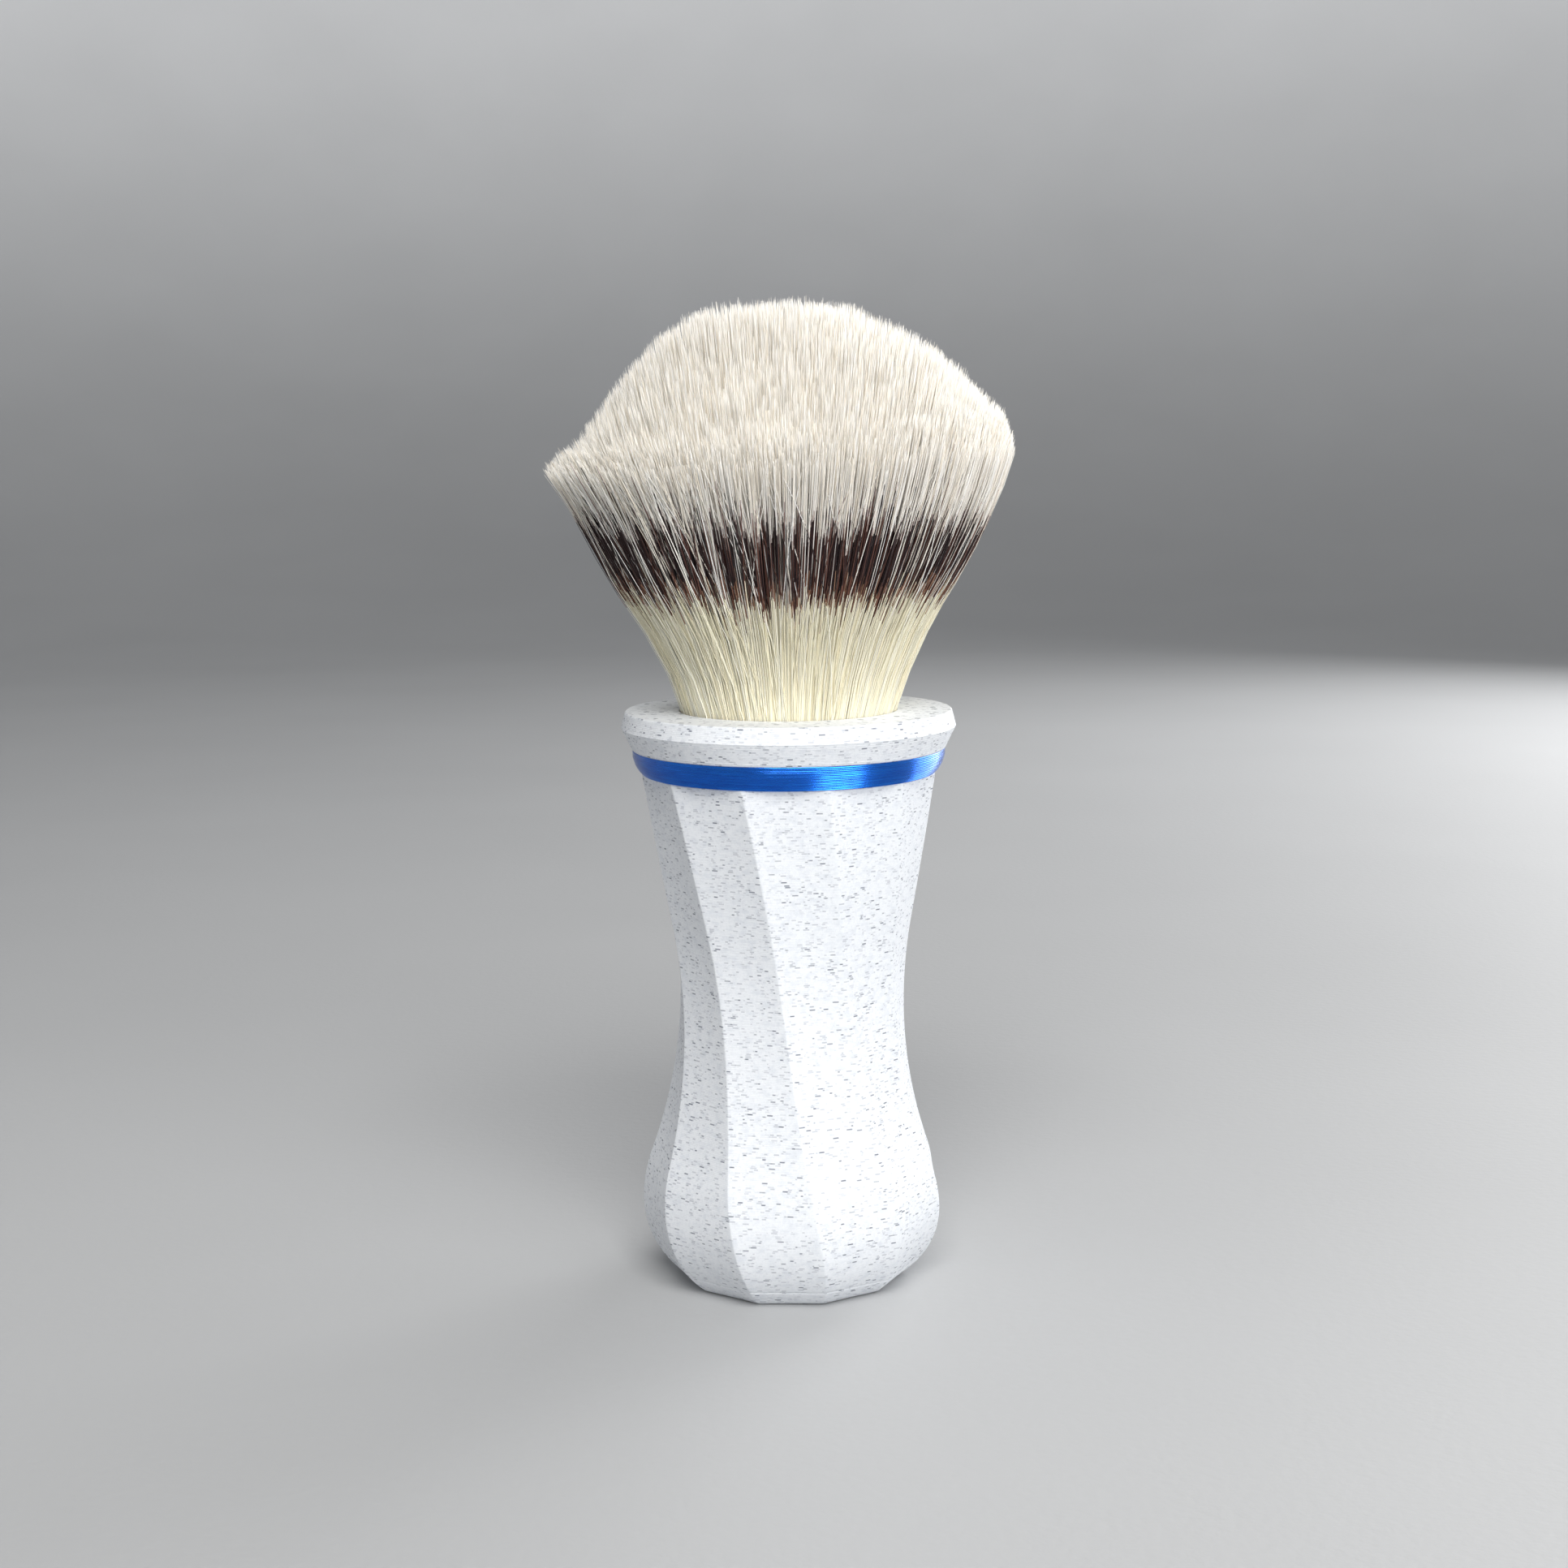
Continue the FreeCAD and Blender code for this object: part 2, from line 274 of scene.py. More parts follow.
def stack(rings, poles):
    """Points and faces of a closed skin through rings of equal count.

    With poles, the first and last ring are closed at the axis. Without, the last ring joins the first.
    """
    rings = np.asarray(rings)
    count, around = rings.shape[:2]
    step = np.arange(around)
    after = (step + 1) % around
    lower = np.arange(count if not poles else count - 1)
    upper = (lower + 1) % count
    quads = np.stack(
        [
            lower[:, None] * around + step,
            lower[:, None] * around + after,
            upper[:, None] * around + after,
            upper[:, None] * around + step,
        ],
        axis=-1,
    ).reshape(-1, 4)
    points = rings.reshape(-1, 3)
    faces = [quads]
    if poles:
        last = (count - 1) * around
        first_pole, last_pole = len(points), len(points) + 1
        points = np.vstack([points, [0, 0, rings[0, 0, 2]], [0, 0, rings[-1, 0, 2]]])
        faces.append(np.stack([np.full(around, first_pole), after, step], axis=-1))
        faces.append(np.stack([np.full(around, last_pole), last + step, last + after], axis=-1))
    return points, faces


SHARP_ANGLE = math.radians(32)  # edges that turn by more than this stay crisp


def printed_piece(name, rings, grooves, poles, finish, node):
    """A printed solid in place of its CAD node. grooves are the rings that lie between two layers."""
    points, faces = stack(rings, poles)
    piece = build_mesh(name, points, faces, [finish])
    mesh = piece.data
    mesh.set_sharp_from_angle(angle=SHARP_ANGLE)
    around = np.asarray(rings).shape[1]
    ends = np.empty(len(mesh.edges) * 2, np.int32)
    mesh.edges.foreach_get("vertices", ends)
    ring_of = ends.reshape(-1, 2) // around
    sharp = np.empty(len(mesh.edges), bool)
    edge_flags = mesh.attributes["sharp_edge"].data
    edge_flags.foreach_get("value", sharp)
    sharp |= (ring_of[:, 0] == ring_of[:, 1]) & np.isin(ring_of[:, 0], grooves)
    edge_flags.foreach_set("value", sharp)
    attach(piece, "root")
    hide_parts(node)
    return piece


# ---- the twisted, faceted outside of the grip ----------------------------------------------------

FACETS = 11
FIRST_RIDGE = 252.0  # direction of one ridge at the base, degrees from +X
BULB_Z, BULB_R, BULB_ARC = 9.5, 18.5, 16.0
BASE_ARC = 11.525
WAIST_Z, WAIST_R, WAIST_ARC, FLARE_ARC = 34.5, 13.95, 54.956, 60.0
JOIN_Z, FLARE_Z, FLARE_R = 15.137, 44.403, 14.773
FLARE_SLOPE = math.tan(math.radians(9.5))
RIDGE_ROUND = 0.5  # radius of the ridges
HOLLOW = 0.05  # the facets are very slightly hollow
BEVEL = 0.12  # softened edge of a printed piece


def ridge_radius(z):
    """Distance of the ridges from the axis at a height."""
    if z < BULB_Z:
        return BULB_R - BASE_ARC + math.sqrt(BASE_ARC**2 - (BULB_Z - z) ** 2)
    if z < JOIN_Z:
        return BULB_R - BULB_ARC + math.sqrt(BULB_ARC**2 - (z - BULB_Z) ** 2)
    if z < WAIST_Z:
        return WAIST_R + WAIST_ARC - math.sqrt(WAIST_ARC**2 - (WAIST_Z - z) ** 2)
    if z < FLARE_Z:
        return WAIST_R + FLARE_ARC - math.sqrt(FLARE_ARC**2 - (z - WAIST_Z) ** 2)
    return FLARE_R + (z - FLARE_Z) * FLARE_SLOPE


HALF_PITCH = math.pi / FACETS
ARC_STEPS = 4  # steps round each ridge
FLAT_STEPS = (0.05, 0.27, 0.5, 0.73, 0.95)  # points across each facet, as shares of its width


def polygon_ring(ridge, z, twist_z=None):
    """One section: an eleven-sided polygon with rounded corners, turned as the ridges are at twist_z."""
    twist_z = z if twist_z is None else twist_z
    start = math.radians(FIRST_RIDGE) - 2 * HALF_PITCH * twist_z / RING_LOW
    hub = ridge - RIDGE_ROUND / math.cos(HALF_PITCH)

    def corner_point(ridge_at, direction):
        """A point of the rounding at a ridge, in a direction from the rounding's centre."""
        x = hub * math.cos(ridge_at) + RIDGE_ROUND * math.cos(direction)
        y = hub * math.sin(ridge_at) + RIDGE_ROUND * math.sin(direction)
        return x, y

    points = []
    for facet in range(FACETS):
        ridge_at = start + 2 * HALF_PITCH * facet
        arc = [ridge_at + HALF_PITCH * (2 * step / ARC_STEPS - 1) for step in range(ARC_STEPS + 1)]
        corner = [corner_point(ridge_at, direction) for direction in arc]
        following = ridge_at + 2 * HALF_PITCH
        goal = corner_point(following, following - HALF_PITCH)
        last = corner[-1]
        middle = ridge_at + HALF_PITCH
        flat = []
        for f in FLAT_STEPS:
            dip = HOLLOW * 4 * f * (1 - f)
            x = last[0] + (goal[0] - last[0]) * f - dip * math.cos(middle)
            y = last[1] + (goal[1] - last[1]) * f - dip * math.sin(middle)
            flat.append((x, y))
        points += corner + flat
    return np.array([(x, y, z) for x, y in points])


def round_ring_like(ring, radius, z):
    """A circle whose points lie in the directions of another ring's points."""
    flat = ring[:, :2]
    return np.column_stack([flat * (radius / np.linalg.norm(flat, axis=1))[:, None], np.full(len(ring), z)])


def round_ring(radius, z, count):
    """A plain circle of points."""
    turn = np.linspace(0, 2 * math.pi, count, endpoint=False)
    return np.column_stack([radius * np.cos(turn), radius * np.sin(turn), np.full(count, z)])


def layer_samples(low, high, depth, wander, per_layer=2):
    """Heights up a printed wall: (z, how far inside the true wall, whether it is a groove).

    Grooves lie at whole multiples of the layer height. Each layer's crest wanders a little.
    """
    samples = [(low, BEVEL, False)]
    first = math.ceil(low / LAYER - 1e-6)
    last = math.floor(high / LAYER + 1e-6)
    for number in range(first, last + 1):
        base = number * LAYER
        crest = RANDOM.normal(0, wander)
        if low + BEVEL < base < high - BEVEL:
            samples.append((base, depth, True))
        for part in range(1, per_layer):
            z = base + LAYER * part / per_layer
            if low + BEVEL <= z <= high - BEVEL:
                bead = 1 - math.sqrt(1 - (2 * part / per_layer - 1) ** 2)
                samples.append((z, depth * bead - crest, False))
    samples.append((high, BEVEL, False))
    return samples


WHITE_DEPTH, WHITE_WANDER = 0.016, 0.004
LINE_WIDTH, LINE_DEPTH = 0.45, 0.02  # width of one printed line on a flat face, and depth between two


def faceted_wall(low, high):
    """The rings of the faceted outside between two heights, and which of them are grooves."""
    samples = layer_samples(low, high, WHITE_DEPTH, WHITE_WANDER)
    rings = [polygon_ring(ridge_radius(z) - inside, z) for z, inside, _ in samples]
    return rings, [groove for _, _, groove in samples]


def concentric(outer, inner):
    """Radii across a flat printed face and how deep each lies, for the lines its nozzle left."""
    lines = max(1, round((outer - inner) / LINE_WIDTH))
    radii = np.linspace(outer, inner, 2 * lines + 1)
    return [(radius, LINE_DEPTH if index % 2 == 0 else 0.0) for index, radius in enumerate(radii)]


REGISTER_RIDGE, REGISTER_RISE, SLIP = 12.65, 1.5, 0.15
CHAMBER_R, CHAMBER_TOP = 11.5, 24.0
SPIGOT_R = 14.3


def grip_shell(finish):
    """The grip: from the roof of the ballast chamber, out and up the wall, and in to the spigot recess."""
    wall, wall_grooves = faceted_wall(CAP_TOP, RING_LOW)
    top, bottom = wall[-1], wall[0]
    recess_floor = SPIGOT_FLOOR - SLIP
    seat_top = CAP_TOP + REGISTER_RISE + SLIP
    below = [round_ring_like(bottom, CHAMBER_R, z) for z in (CHAMBER_TOP, seat_top)]
    below += [polygon_ring(REGISTER_RIDGE + SLIP, z, CAP_TOP) for z in (seat_top, CAP_TOP)]
    above = [round_ring_like(top, SPIGOT_R + SLIP, z) for z in (RING_LOW, recess_floor)]
    rings = below + wall + above
    flags = [False] * len(below) + wall_grooves + [False] * len(above)
    grooves = np.flatnonzero(flags)
    return printed_piece("grip_print", rings, grooves, True, finish, "grip_shell")


def base_cap(finish):
    """The base cap: underside with its printed lines, faceted edge, and the register on top."""
    wall, wall_grooves = faceted_wall(0.0, CAP_TOP)
    edge = ridge_radius(0.0) - BEVEL
    under = [polygon_ring(radius, depth, 0.0) for radius, depth in concentric(edge, 1.4)[::-1]]
    register = [polygon_ring(REGISTER_RIDGE, z, CAP_TOP) for z in (CAP_TOP, CAP_TOP + REGISTER_RISE)]
    rings = under[:-1] + wall + register
    flags = [False] * (len(under) - 1) + wall_grooves + [False] * len(register)
    grooves = np.flatnonzero(flags)
    return printed_piece("base_print", rings, grooves, True, finish, "base_cap")


# ---- the round printed pieces --------------------------------------------------------------------

ROUND_COUNT = 224
RING_LOW_R, RING_HIGH_R, RING_BULGE = 17.6, 18.85, 3.4
RIM_Z, RIM_R, COLLAR_FACE_R, SOCKET_R = 68.05, 20.15, 19.65, 13.1
SILK_DEPTH, SILK_WANDER = 0.02, 0.008  # how far a layer's edges draw in, and how far layers differ
SILK_WAVER = 0.012  # how far each layer's outline strays from a circle
SILK_LEAN = 0.03  # each layer's outside faces slightly upwards
SILK_LAYERS = 14
SILK_LAYER = (RING_HIGH - RING_LOW) / SILK_LAYERS
SILK_PARTS = (0.0, 0.08, 0.25, 0.42, 0.58, 0.75, 0.92, 1.0)  # heights within one layer


def bulged_radius(z):
    """The accent ring's outside: an arc from its lower to its upper edge that bulges outwards."""
    chord = Vector((RING_HIGH_R - RING_LOW_R, RING_HIGH - RING_LOW))
    outward = Vector((chord.y, -chord.x)).normalized()
    middle = Vector((RING_LOW_R, RING_LOW)) + chord / 2
    centre = middle - outward * math.sqrt(RING_BULGE**2 - chord.length_squared / 4)
    return centre.x + math.sqrt(max(0.0, RING_BULGE**2 - (z - centre.y) ** 2))


WAVES_ROUND = range(3, 26)
ANY_PHASE = 6.3  # just over a whole turn, in radians


def waver(count, size):
    """A smooth wander round a closed ring: a sum of waves, weaker as they get shorter."""
    turn = np.linspace(0, 2 * math.pi, count, endpoint=False)
    total = np.zeros(count)
    for waves in WAVES_ROUND:
        height = size / waves**0.5 * math.sin(RANDOM.uniform(0, ANY_PHASE))
        total += height * np.cos(waves * turn + RANDOM.uniform(0, ANY_PHASE))
    return total / 3


def accent_ring(finish):
    """The coloured ring. It overhangs, so each layer is a step of its own."""
    rings, flags = [], []
    for layer in range(SILK_LAYERS):
        base = RING_LOW + layer * SILK_LAYER
        middle = bulged_radius(base + SILK_LAYER / 2) + RANDOM.normal(0, SILK_WANDER)
        wall = middle + waver(ROUND_COUNT, SILK_WAVER)
        for part in SILK_PARTS:
            radius = wall - SILK_LEAN * (part - 0.5) - SILK_DEPTH * (2 * part - 1) ** 4
            ring = round_ring(1.0, base + part * SILK_LAYER, ROUND_COUNT)
            ring[:, :2] *= radius[:, None]
            rings.append(ring)
            flags.append(part in (SILK_PARTS[0], SILK_PARTS[-1]))
    bore = SPIGOT_R + SLIP
    rings += [round_ring(bore, RING_HIGH, ROUND_COUNT), round_ring(bore, RING_LOW, ROUND_COUNT)]
    grooves = np.flatnonzero(flags)
    return printed_piece("ring_print", rings, grooves, False, finish, "accent_ring")


def collar_radius(z):
    """The collar's outside: a cone up to the rim, then a bevel back in."""
    if z < RIM_Z:
        return RING_HIGH_R + (RIM_R - RING_HIGH_R) * (z - RING_HIGH) / (RIM_Z - RING_HIGH)
    return RIM_R + (COLLAR_FACE_R - RIM_R) * (z - RIM_Z) / (COLLAR_TOP - RIM_Z)


def socket_collar(finish):
    """The collar: spigot, cone, rim, bevel, ringed top face and the socket for the knot."""
    samples = layer_samples(RING_HIGH, COLLAR_TOP, WHITE_DEPTH, WHITE_WANDER, 4)
    face = concentric(COLLAR_FACE_R - BEVEL, SOCKET_R + BEVEL)[1:]
    path = [(SPIGOT_R, SPIGOT_FLOOR, False), (SPIGOT_R, RING_HIGH, False)]
    path += [(collar_radius(z) - inside, z, groove) for z, inside, groove in samples]
    path += [(radius, COLLAR_TOP - depth, False) for radius, depth in face]
    path += [(SOCKET_R, COLLAR_TOP - BEVEL, False), (SOCKET_R, SOCKET_FLOOR, False)]
    rings = [round_ring(radius, z, ROUND_COUNT) for radius, z, _ in path]
    grooves = np.flatnonzero([groove for _, _, groove in path])
    return printed_piece("collar_print", rings, grooves, True, finish, "socket_collar")


# ---- the fibre knot --------------------------------------------------------------------------------

# (height, half-width) of the fan, and (distance from the axis, height) of the dome. The knot isn't even: it
# spreads lower and wider on its -X side than on its +X side.
FAN_LEFT = np.array([
    (66.5, 12.5), (70, 12.8), (72.8, 13.5), (77.3, 15.4), (81.3, 18.0), (85.8, 21.1),
    (90.7, 23.7), (94.6, 25.9), (98.2, 28.3), (102, 30.6), (118.6, 37.0),
])
FAN_RIGHT = np.array([
    (66.5, 12.6), (70, 12.95), (73, 13.8), (78.2, 15.9), (83, 18.5), (87, 21.1),
    (91.8, 23.6), (96.5, 25.6), (101.7, 27.2), (118.6, 32.5),
])
DOME_LEFT = np.array([
    (0, 118.6), (7.6, 117.6), (12, 116.1), (15.4, 114.2), (19.5, 109.4), (22.9, 105.0),
    (24.6, 102.4), (26.4, 100.9), (28.4, 98.4), (36, 90),
])
DOME_RIGHT = np.array([
    (0, 118.6), (8.4, 117.5), (13, 115.4), (16.4, 113.3), (21.5, 109.3), (25.6, 105.0),
    (26.8, 102.3), (27.2, 100.2), (36, 90),
])
ZONES = ("root", "fringe", "band", "haze", "tip")
TONES = {
    "root": ((255, 250, 226), (255, 247, 219), (255, 252, 235)),
    "fringe": ((128, 84, 66), (96, 60, 48), (160, 122, 96)),
    "band": ((54, 32, 32), (106, 70, 60), (34, 23, 26)),
    "haze": ((204, 190, 183), (168, 148, 145), (226, 215, 206)),
    "tip": ((255, 251, 243), (252, 244, 230), (255, 253, 249)),
}
TONES_EACH = 3
TONE_SHARES = (0.5, 0.25, 0.25)
TIP_ZONE = ZONES.index("tip")
FRINGE_Z, HAZE_Z = 84.2, 92.0  # where the dyed band starts and ends
INNER_LAG = 2.2  # the band lies higher on the inner, straighter fibres


def fibre_finishes():
    """One plain material for each zone and tone: a fibre is too thin to carry a pattern of its own."""
    finishes = []
    for zone in ZONES:
        for number, tone in enumerate(TONES[zone]):
            made = material(f"fibre_{zone}_{number}", Base_Color=colour(*tone), Roughness=0.42, IOR=1.5)[0]
            finishes.append(made)
    return finishes


def sided(table_left, table_right, at, side):
    """A value between a table for the -X side (side 0) and one for the +X side (side 1)."""
    left = np.interp(at, table_left[:, 0], table_left[:, 1])
    right = np.interp(at, table_right[:, 0], table_right[:, 1])
    return left + (right - left) * side


def side_of(x, y):
    """0 in the -X direction, 1 in the +X direction, and in between elsewhere."""
    return 0.5 + 0.5 * x / np.maximum(np.hypot(x, y), 1e-6)


def dome_height(distance, side):
    """Height of the tips at a distance from the axis."""
    return sided(DOME_LEFT, DOME_RIGHT, distance, side)


def fan_radius(z, side):
    """Radius of the fan at a height."""
    return sided(FAN_LEFT, FAN_RIGHT, z, side)


SOLVE_STEPS, SOLVE_PACE = 60, 0.4


def height_under_dome(share, side, depth):
    """Where lines at a share of the fan's radius come within depth of the dome, found in repeated steps."""
    z = np.full(len(side), 100.0)
    for _ in range(SOLVE_STEPS):
        z += SOLVE_PACE * (dome_height(share * fan_radius(z, side), side) - depth - z)
    return z


def sunflower(count):
    """Evenly scattered points of a unit disc."""
    index = np.arange(count) + 0.5
    share, turn = np.sqrt(index / count), index * math.pi * (3 - math.sqrt(5))
    return share * np.cos(turn), share * np.sin(turn)


CORE_SHARE = 0.9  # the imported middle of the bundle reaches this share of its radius
CORE_DEPTH = 5.5  # and ends this far under the tips
CORE_RIBS = 300
CORE_ROWS, CORE_DOME_ROWS = 62, 16
CORE_TONE_SHARES = (0.5, 0.3, 0.2)
RIB_DEPTH, RIB_WANDER = 0.005, 0.004  # as shares of the core's radius


def knot_core(finishes):
    """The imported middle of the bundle: a ribbed solid that shows only between the fibres."""
    around = 2 * CORE_RIBS
    turn = np.linspace(0, 2 * math.pi, around, endpoint=False)
    side = 0.5 + 0.5 * np.cos(turn)
    rib = 1 + np.where(np.arange(around) % 2, RIB_DEPTH, -RIB_DEPTH) + RANDOM.normal(0, RIB_WANDER, around)
    shoulder = height_under_dome(CORE_SHARE, side, CORE_DEPTH)
    rings = []
    for row in range(CORE_ROWS):
        z = KNOT_FOOT + (shoulder - KNOT_FOOT) * row / (CORE_ROWS - 1)
        radius = CORE_SHARE * fan_radius(z, side) * rib
        rings.append(np.column_stack([radius * np.cos(turn), radius * np.sin(turn), z]))
    edge = CORE_SHARE * fan_radius(shoulder, side)
    for row in range(1, CORE_DOME_ROWS):
        radius = edge * (1 - row / CORE_DOME_ROWS)
        z = dome_height(radius, side) - CORE_DEPTH
        rings.append(np.column_stack([radius * rib * np.cos(turn), radius * rib * np.sin(turn), z]))
    rings = np.array(rings)
    points, faces = stack(rings, True)
    middle = (rings[:-1, :, 2] + rings[1:, :, 2]) / 2
    wander = RANDOM.normal(0, 0.7, around)
    bounds = [FRINGE_Z + 0.4 + wander, FRINGE_Z + 1.6 + wander, HAZE_Z + wander, HAZE_Z + 1.4 + wander]
    zone = sum((middle > bound).astype(int) for bound in bounds)
    tones = RANDOM.choice(TONES_EACH, around, p=CORE_TONE_SHARES)
    slots = np.concatenate([(zone * TONES_EACH + tones).ravel(), tones, TIP_ZONE * TONES_EACH + tones])
    piece = build_mesh("fibres_core", points, faces, finishes, slots)
    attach(piece, "root")
    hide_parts("fibre_knot")


STRANDS = 1500  # groups of fibres whose tips lean together
STRAY_SHARE = 0.06
TIP_SPREAD, STRAY_SPREAD = 0.005, 0.022  # scatter of the tips, as shares of the bundle's radius


def bundle(count, inner, outer, pull, left_pull):
    """Where fibres start and end across the bundle, as shares of its radius, with each one's strand.

    A fibre's tip leans towards the middle of its strand by pull, and by up to left_pull more on the -X
    side, where the knot is more open. A few fibres stray.
    """
    strand_x, strand_y = sunflower(STRANDS)
    share = np.sqrt(RANDOM.uniform(inner**2, outer**2, count))
    turn = RANDOM.uniform(0, 2 * math.pi, count)
    x, y = share * np.cos(turn), share * np.sin(turn)
    strand = np.concatenate([
        ((x[part, None] - strand_x) ** 2 + (y[part, None] - strand_y) ** 2).argmin(axis=1)
        for part in np.array_split(np.arange(count), 20)
    ])
    spread = TIP_SPREAD + (RANDOM.uniform(0, 1, count) < STRAY_SHARE) * STRAY_SPREAD
    pull = pull + left_pull * np.clip(-1.4 * x - 0.4, 0, 1)
    tip_x = x + (strand_x[strand] - x) * pull + RANDOM.normal(0, spread)
    tip_y = y + (strand_y[strand] - y) * pull + RANDOM.normal(0, spread)
    excess = np.maximum(np.hypot(tip_x, tip_y) / 1.01, 1.0)
    tip_x, tip_y = tip_x / excess, tip_y / excess
    return x, y, tip_x, tip_y, strand


TUFTS = 190  # groups of neighbouring tips of about one height


def tip_heights(tip_x, tip_y):
    """Each fibre's tip height: where its own line reaches the dome, uneven by tuft and by fibre."""
    count = len(tip_x)
    z = height_under_dome(np.hypot(tip_x, tip_y), side_of(tip_x, tip_y), 0.0)
    tuft_x, tuft_y = sunflower(TUFTS)
    tuft = ((tip_x[:, None] - tuft_x) ** 2 + (tip_y[:, None] - tuft_y) ** 2).argmin(axis=1)
    by_tuft = RANDOM.normal(0, 0.26, TUFTS)[tuft]
    by_fibre = RANDOM.normal(0, 0.2, count)
    return z + by_tuft + by_fibre - RANDOM.exponential(0.3, count)


LATE_LEAN = 1.3  # a fibre moves across the bundle mostly near its tip


def centre_lines(x, y, tip_x, tip_y, levels, tip_z, bow_size):
    """Points of each fibre's middle at its levels: (fibre, point, xyz)."""
    up = np.clip((levels - KNOT_FOOT) / (tip_z - KNOT_FOOT)[:, None], 0, 1)
    at_x = x[:, None] + (tip_x - x)[:, None] * up**LATE_LEAN
    at_y = y[:, None] + (tip_y - y)[:, None] * up**LATE_LEAN
    spread = fan_radius(levels, side_of(at_x, at_y))
    bow = RANDOM.normal(0, bow_size, (2, len(x), 1)) * np.sin(math.pi * up)
    return np.stack([at_x * spread + bow[0], at_y * spread + bow[1], levels], axis=-1)


FIBRE_R = 0.052  # radius of a fibre round its dyed band
SIDES = np.arange(3)
TRIANGLES_IN_A_PIECE = 190000


def fibre_rods(name, lines, taper, zones, tones, finishes):
    """One batch of fibres as closed three-sided rods. zones gives each span's zone for each fibre."""
    count, points_each = lines.shape[:2]
    turn = RANDOM.uniform(0, 2 * math.pi, (count, 1, 1)) + 2 * SIDES * math.pi / 3
    thick = FIBRE_R * RANDOM.uniform(0.8, 1.2, (count, 1, 1)) * np.array(taper)[None, :, None]
    points = lines[:, :, None, :].repeat(3, axis=2)
    points[..., 0] += thick * np.cos(turn)
    points[..., 1] += thick * np.sin(turn)
    first = (np.arange(count) * points_each * 3)[:, None, None]
    span = (np.arange(points_each - 1) * 3)[None, :, None]
    after = (SIDES + 1) % 3
    lower = first + span
    quads = np.stack([lower + SIDES, lower + after, lower + 3 + after, lower + 3 + SIDES], axis=-1)
    slots = (zones * TONES_EACH + tones[:, None])[:, :, None].repeat(3, axis=2)
    foot = first[:, 0, 0]
    end = foot + (points_each - 1) * 3
    caps = [np.stack([foot + 2, foot + 1, foot], axis=-1), np.stack([end, end + 1, end + 2], axis=-1)]
    face_slots = np.concatenate([slots.ravel(), slots[:, 0, 0], slots[:, -1, 0]])
    piece = build_mesh(name, points.reshape(-1, 3), [quads.reshape(-1, 4)] + caps, finishes, face_slots)
    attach(piece, "root")
    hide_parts("fibre_knot")


def in_batches(x, y, spans):
    """Fibres in batches by their direction, each small enough for one piece."""
    around = np.argsort(np.arctan2(y, x), kind="stable")
    triangles = len(x) * (6 * spans + 2)
    return np.array_split(around, math.ceil(triangles / TRIANGLES_IN_A_PIECE))


def band_levels(wander, count):
    """Heights where each fibre turns from root to fringe, band, haze and tip: every fibre has its own."""
    fringe = FRINGE_Z - 0.1 + wander + RANDOM.normal(0, 0.9, count) - RANDOM.exponential(0.6, count)
    band = fringe + RANDOM.uniform(0.8, 2.6, count)
    haze = HAZE_Z - 0.5 + wander + RANDOM.normal(0, 1.0, count) + RANDOM.exponential(0.9, count)
    haze += np.where(RANDOM.uniform(0, 1, count) < 0.03, RANDOM.uniform(1.5, 5.0, count), 0)
    haze = np.maximum(haze, band + 1.0)
    return fringe, band, haze, haze + RANDOM.uniform(0.3, 1.2, count)


# A whole fibre's points: its foot, three on the way up, five round the band, and four to the tip. Each span
# between two points has a zone, by its place in ZONES.
WHOLE_TAPER = (1.5, 1.45, 1.3, 1.12, 1, 1, 1, 1, 0.97, 0.95, 0.9, 0.7, 0.25)
WHOLE_ZONES = (0, 0, 0, 0, 1, 2, 2, 3, 4, 4, 4, 4)
PLAIN_ZONES = (0, 0, 0, 0, 4, 4, 4, 4, 4, 4, 4, 4)


def whole_fibres(name, x, y, tip_x, tip_y, tip_z, bounds, plain, bow, finishes):
    """Fibres from the potted root to the tip, in batches by direction. A plain fibre has no dyed band."""
    count = len(x)
    fringe, band, haze, tip_zone = bounds
    foot = np.full(count, KNOT_FOOT)
    levels = [foot, foot + 3.7, foot + 8.0, foot + 13.0, fringe, band, 0.5 * (band + haze), haze, tip_zone]
    levels += [tip_zone + (tip_z - tip_zone) * f for f in (0.4, 0.8, 0.95, 1.0)]
    lines = centre_lines(x, y, tip_x, tip_y, np.stack(levels, axis=1), tip_z, bow)
    zones = np.array(WHOLE_ZONES)[None, :].repeat(count, axis=0)
    zones[plain] = PLAIN_ZONES
    tones = RANDOM.choice(TONES_EACH, count, p=TONE_SHARES)
    for number, batch in enumerate(in_batches(x, y, len(WHOLE_ZONES))):
        fibre_rods(f"{name}_{number}", lines[batch], WHOLE_TAPER, zones[batch], tones[batch], finishes)


OUTER_FIBRES = 7800
ROOT_DEPTH = 0.36  # the outer layers' depth at the foot, as a share of what it would be evenly spread


def outer_fibres(finishes):
    """Whole fibres of the outer layers."""
    count = OUTER_FIBRES
    x, y, tip_x, tip_y, strand = bundle(count, 0.88, 1.0, 0.2, 0.4)
    share = np.hypot(x, y)
    wander = RANDOM.normal(0, 0.5, STRANDS)[strand] + INNER_LAG * (1 - share**2)
    plainness = 0.02 + RANDOM.beta(0.8, 9.0, STRANDS)[strand] * (2.3 + 2.2 * np.minimum(x, 0.1))
    packing = (1 - ROOT_DEPTH * (1 - share)) / share
    x, y = x * packing, y * packing
    plain = RANDOM.uniform(0, 1, count) < plainness
    tip_z = tip_heights(tip_x, tip_y)
    bounds = band_levels(wander, count)
    whole_fibres("fibres_outer", x, y, tip_x, tip_y, tip_z, bounds, plain, 0.1, finishes)


LOOSE_FIBRES = 420
LOOSE_SIDE = math.radians(246)  # a group of pale ones lies at the front left
LOOSE_LEAN = math.radians(-13)  # and leans further to the left


